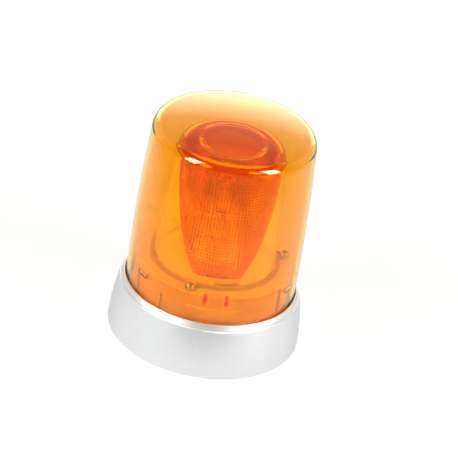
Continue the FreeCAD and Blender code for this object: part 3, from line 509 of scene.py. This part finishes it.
def bring_in_lugs(radius, height, angle):
    """Lugs stand on the inner face, and lock under the ledges of the drum."""
    turn = math.remainder(angle - math.radians(LUG_ANGLE), FULL_TURN / FOLD)
    in_span = abs(turn) < math.radians(LUG_SPAN) / 2 + ROUNDING
    in_height = LUG_TOP - LUG_THICKNESS <= height <= LUG_TOP
    if in_span and in_height and radius < dome_bore(height) + ON_BORE:
        return LUG_REACH, height
    return radius, height


def make_dome():
    outline = dome_outline(0.0) + inner_outline()
    outline.append(outline[0])
    points, faces, _ = turned(outline, dome_angles(), bring_in_lugs)
    dome = add_mesh("dome_cover", points, faces, AMBER)
    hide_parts("dome")
    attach(dome, "dome")


# Inner lens: an amber cap with two gridded tongues that taper down into the notches of a clear carrier

def lens_radius(height):
    """Outer face of the bell, leaning in towards the top."""
    rise = (height - LENS_FOOT) / (LENS_TOP - LENS_ROUND - LENS_FOOT)
    return LENS_FOOT_RADIUS + (LENS_TOP_RADIUS - LENS_FOOT_RADIUS) * rise


def half_angle(height, radius):
    """Half the angle that a tongue spans: its flat sides lie in a plane that leans back towards the top."""
    share = (height - TONGUE_FOOT) / (TONGUE_TOP - TONGUE_FOOT)
    reach = NOTCH_FOOT_REACH + (NOTCH_TOP_REACH - NOTCH_FOOT_REACH) * share
    return math.acos(reach / radius)


def cell_stops(first, last):
    """Places across a row of cells: the two edges of the flat field in each, and the groove between."""
    stops = []
    for cell in range(first, last):
        stops += [cell, cell + GROOVE_SHARE, cell + 1 - GROOVE_SHARE]
    return stops + [last]


def groove(place):
    """Depth of the groove at a place counted in cells: 1 on the line between two cells, 0 on the field."""
    return max(0.0, 1.0 - abs(place - round(place)) / GROOVE_SHARE)


def tongue_height(down):
    """Height at a place counted in rings down from the top of a tongue."""
    return TONGUE_TOP - (TONGUE_TOP - TONGUE_FOOT) * down / RINGS


def grid_radius(down, across):
    """Inner face of a tongue at a place counted in rings down and flutes across."""
    lean = RING_LEAN_TOP + (RING_LEAN_FOOT - RING_LEAN_TOP) * down / RINGS
    dent = GROOVE_DEPTH * max(groove(down), groove(across)) if down else 0.0
    return lens_radius(tongue_height(down)) - LENS_WALL + dent - lean * (down % 1.0)


def tongue_turns():
    """Columns across the top of a tongue, as angles from its middle."""
    limit = half_angle(TONGUE_TOP, lens_radius(TONGUE_TOP))
    widest = math.ceil(limit / FLUTE_TURN)
    turns = [place * FLUTE_TURN for place in cell_stops(-widest, widest)]
    return [-limit] + [turn for turn in turns if abs(turn) < limit - LEAST_TURN] + [limit]


def tongue_row(points, turns, down, middle):
    """Adds the points of a row across a tongue: the numbers of its outer and of its inner ones."""
    height = tongue_height(down)
    row = ([], [])
    for side, depth in zip(row, (0.0, LENS_WALL)):
        limit = half_angle(height, lens_radius(height) - depth)
        for turn in turns:
            turn = max(-limit, min(limit, turn))
            radius = grid_radius(down, turn / FLUTE_TURN) if depth else lens_radius(height)
            side.append(len(points))
            points.append(around(radius, middle + turn, height))
    return row


def add_tongue(points, faces, top, middle):
    """Hangs a gridded tongue under the cap; top holds the cap's outer and inner points along it."""
    turns = tongue_turns()
    rows = [top]
    for down in cell_stops(0, RINGS)[1:]:
        rows.append(tongue_row(points, turns, down, middle))
    for (outer, inner), (outer_below, inner_below) in zip(rows, rows[1:]):
        for right in range(1, len(turns)):
            left = right - 1
            faces.append((outer[left], outer_below[left], outer_below[right], outer[right]))
            faces.append((inner[left], inner[right], inner_below[right], inner_below[left]))
        faces.append((outer[0], inner[0], inner_below[0], outer_below[0]))
        faces.append((outer[-1], outer_below[-1], inner_below[-1], inner[-1]))
    outer, inner = rows[-1]
    for right in range(1, len(turns)):
        faces.append((outer[right - 1], inner[right - 1], inner[right], outer[right]))


def eye_dish(lift):
    """The eye from its rim to the axis: a soft step down to a flat floor."""
    points = []
    for share in spread(0.0, 1.0, EYE_STEPS):
        drop = (1.0 - math.cos(math.pi * share)) / 2
        points.append((EYE_RADIUS + EYE_SLOPE * (0.5 - share), LENS_TOP + lift - EYE_DEPTH * drop))
    return points + [(0.0, LENS_TOP + lift - EYE_DEPTH)]


def cap_outline():
    """From the outer foot of the cap over its top and back down inside."""
    round_centre = (LENS_TOP_RADIUS - LENS_ROUND, LENS_TOP - LENS_ROUND)
    rim = lens_radius(TONGUE_TOP)
    outline = [(rim, TONGUE_TOP)]
    outline += arc(round_centre, LENS_ROUND, 0.0, math.pi / 2, CAP_OUTER_STEPS)
    outline += eye_dish(0.0)
    outline += eye_dish(-LENS_WALL)[::-1]
    outline += arc(round_centre, LENS_ROUND - LENS_WALL, math.pi / 2, 0.0, CAP_INNER_STEPS)
    return outline + [(rim - LENS_WALL, TONGUE_TOP)]


def make_lens():
    """Cap and tongues as one closed mesh; between the tongues the cap's underside is closed."""
    turns = tongue_turns()
    half_round = turns + spread(turns[-1], math.pi + turns[0], GAP_COLUMNS)[1:-1]
    front = math.radians(NOTCH_ANGLE)
    middles = (front, front + math.pi)
    angles = [middle + turn for middle in middles for turn in half_round]
    points, faces, rows = turned(cap_outline(), angles)
    outer, inner = rows[0], rows[-1]
    under = strip(inner, outer)
    for number, middle in enumerate(middles):
        first = number * len(half_round)
        last = first + len(turns)
        add_tongue(points, faces, (outer[first:last], inner[first:last]), middle)
        faces += under[last:first + len(half_round)]
        faces.append(under[first])
    lens = add_mesh("amber_lens", points, faces, LENS_AMBER)
    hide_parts("inner_lens")
    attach(lens, "base")


# Lens screws: pan heads with a cross recess

def cross_recess(radius, height, angle):
    """Lowers the top of a screw head inside the arms of the cross."""
    aside = radius * min(abs(math.cos(angle)), abs(math.sin(angle)))
    if height > SCREW_SEAT and radius <= RECESS_REACH and aside <= RECESS_HALF_WIDTH:
        height -= RECESS_DEPTH * (1.0 - RECESS_TAPER * radius / RECESS_REACH)
    return radius, height


def screw_outline():
    """From the foot of the shank up to the middle of the head's top."""
    head_top = SCREW_SEAT + HEAD_HEIGHT
    round_centre = (HEAD_RADIUS - HEAD_ROUND, head_top - HEAD_ROUND)
    outline = [(0.0, SCREW_FOOT), (SCREW_RADIUS, SCREW_FOOT)]
    outline += [(SCREW_RADIUS, SCREW_SEAT), (HEAD_RADIUS, SCREW_SEAT)]
    outline += arc(round_centre, HEAD_ROUND, 0.0, math.pi / 2, HEAD_STEPS)
    return outline + [(radius, head_top) for radius in spread(RECESS_REACH, 0.0, RECESS_STEPS)[1:]]


def make_lens_screws():
    points, faces, _ = turned(screw_outline(), even_angles(SCREW_COLUMNS), cross_recess)
    for number in range(FOLD):
        angle = math.radians(SCREW_ANGLE) + FULL_TURN * number / FOLD
        screw = add_mesh(f"lens_screw_{number + 1}", points, faces, ZINC)
        screw.location = around(SCREW_CIRCLE * MM, angle, 0.0)
        screw.rotation_euler.z = angle
        if number == 0:
            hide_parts("lens_screws")
        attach(screw, "base")


# Studio: pale floor, dim room with a white backdrop, a soft box at each side and a panel behind

def make_floor():
    """White to the camera, with a share of true shading so that the shadow stays.

    Gloss sees the white sheet end a little way from the foot, so that the dome keeps its depth of colour."""
    material, tree, surface = new_material("studio_floor")
    surface.inputs["Roughness"].default_value = FLOOR_ROUGHNESS
    vary_colour(tree, surface, FLOOR_DARK, FLOOR_LIGHT, FLOOR_SCALE)
    rays = tree.nodes.new("ShaderNodeLightPath").outputs
    direct = combine(tree, "MAXIMUM", rays["Is Camera Ray"], rays["Is Transmission Ray"])
    mirrored = combine(tree, "GREATER_THAN", rays["Is Glossy Ray"], rays["Is Transmission Ray"])
    away = measure(tree, "DISTANCE", object_place(tree), SHEET_MIDDLE)["Value"]
    beyond = ramp(tree, away, SHEET_REACH, SHEET_REACH + SHEET_FADE, 0.0, SHEET_SHADE)
    shade = combine(tree, "MULTIPLY", beyond, mirrored)
    glow = tree.nodes.new("ShaderNodeEmission")
    glow.inputs["Color"].default_value = WHITE
    tree.links.new(ramp(tree, shade, 0.0, 1.0, 1.0, 0.0), glow.inputs["Strength"])
    share = ramp(tree, direct, 0.0, 1.0, 0.0, FLOOR_GLOW)
    mix_shaders(tree, combine(tree, "MAXIMUM", share, mirrored), surface, glow)
    half = FLOOR_HALF_WIDTH / MM
    corners = [(-half, -half, 0.0), (half, -half, 0.0), (half, half, 0.0), (-half, half, 0.0)]
    add_mesh("floor", corners, [(0, 1, 2, 3)], material)


def make_room():
    """Dim room, a white backdrop behind, and a dark round ceiling that reaches down to it."""
    world = bpy.data.worlds.new("room")
    scene.world = world
    world.use_nodes = True
    tree = world.node_tree
    direction = tree.nodes.new("ShaderNodeTexCoord").outputs["Generated"]
    split = tree.nodes.new("ShaderNodeSeparateXYZ")
    tree.links.new(direction, split.inputs[0])
    behind = ramp(tree, split.outputs["Y"], 0.0, BACKDROP_SIDE_FADE, 0.0, 1.0)
    below = ramp(tree, split.outputs["Z"], BACKDROP_TOP, BACKDROP_TOP + BACKDROP_TOP_FADE, 1.0, 0.0)
    level = ramp(tree, combine(tree, "MULTIPLY", behind, below), 0.0, 1.0, ROOM_LIGHT, 1.0)
    rise = math.radians(CEILING_RISE)
    toward = measure(tree, "DOT_PRODUCT", direction, (0.0, math.cos(rise), math.sin(rise)))["Value"]
    edge = math.cos(math.radians(CEILING_SPREAD))
    ceiling = ramp(tree, toward, edge - CEILING_FADE, edge + CEILING_FADE, 1.0, CEILING_LIGHT)
    background = tree.nodes["Background"]
    background.inputs["Color"].default_value = WHITE
    tree.links.new(combine(tree, "MULTIPLY", level, ceiling), background.inputs["Strength"])


def make_lamp(name, azimuth, rise, size, power):
    lamp = bpy.data.lights.new(name, "AREA")
    lamp.shape = "RECTANGLE"
    lamp.size, lamp.size_y = size
    lamp.energy = power
    box = bpy.data.objects.new(name, lamp)
    scene.collection.objects.link(box)
    side = math.radians(azimuth)
    up = math.radians(rise)
    level = LAMP_DISTANCE * math.cos(up)
    offset = Vector((level * math.sin(side), -level * math.cos(side), LAMP_DISTANCE * math.sin(up)))
    turn = (-offset).to_track_quat("-Z", "Y")
    box.matrix_world = Matrix.Translation(Vector(LAMP_AIM) + offset) @ turn.to_matrix().to_4x4()
    return lamp


def fade_out(lamp):
    """Lets a lamp get darker towards its upper edge."""
    lamp.use_nodes = True
    tree = lamp.node_tree
    place = tree.nodes.new("ShaderNodeNewGeometry")
    split = tree.nodes.new("ShaderNodeSeparateXYZ")
    tree.links.new(place.outputs["Parametric"], split.inputs[0])
    level = ramp(tree, split.outputs["Y"], PANEL_FADE_START, 1.0, 1.0, 0.0)
    tree.links.new(level, tree.nodes["Emission"].inputs["Strength"])


def make_lamps():
    for name, azimuth in SOFTBOX_AZIMUTHS.items():
        make_lamp(name, azimuth, SOFTBOX_RISE, SOFTBOX_SIZE, SOFTBOX_POWER)
    fade_out(make_lamp("back_panel", PANEL_AZIMUTH, PANEL_RISE, PANEL_SIZE, PANEL_POWER))


def make_camera():
    """Stands as the photo's camera does: about 30 degrees up, turned a little about its own axis."""
    camera = bpy.data.cameras.new("camera")
    camera.lens = CAMERA_LENS
    camera.sensor_width = CAMERA_SENSOR
    holder = bpy.data.objects.new("camera", camera)
    scene.collection.objects.link(holder)
    rise = math.radians(CAMERA_RISE)
    back = Vector((0.0, -math.cos(rise), math.sin(rise)))
    right = Vector((1.0, 0.0, 0.0))
    turn = Matrix((right, back.cross(right), back)).transposed().to_4x4()
    roll = Matrix.Rotation(math.radians(CAMERA_ROLL), 4, "Z")
    holder.matrix_world = Matrix.Translation(Vector(CAMERA_TARGET) + back * CAMERA_DISTANCE) @ turn @ roll
    scene.camera = holder


make_dome()
make_lens()
make_lens_screws()
make_floor()
make_room()
make_lamps()
make_camera()
scene.view_settings.view_transform = "Standard"
scene.cycles.transmission_bounces = 16
scene.cycles.max_bounces = 20
scene.cycles.transparent_max_bounces = 16
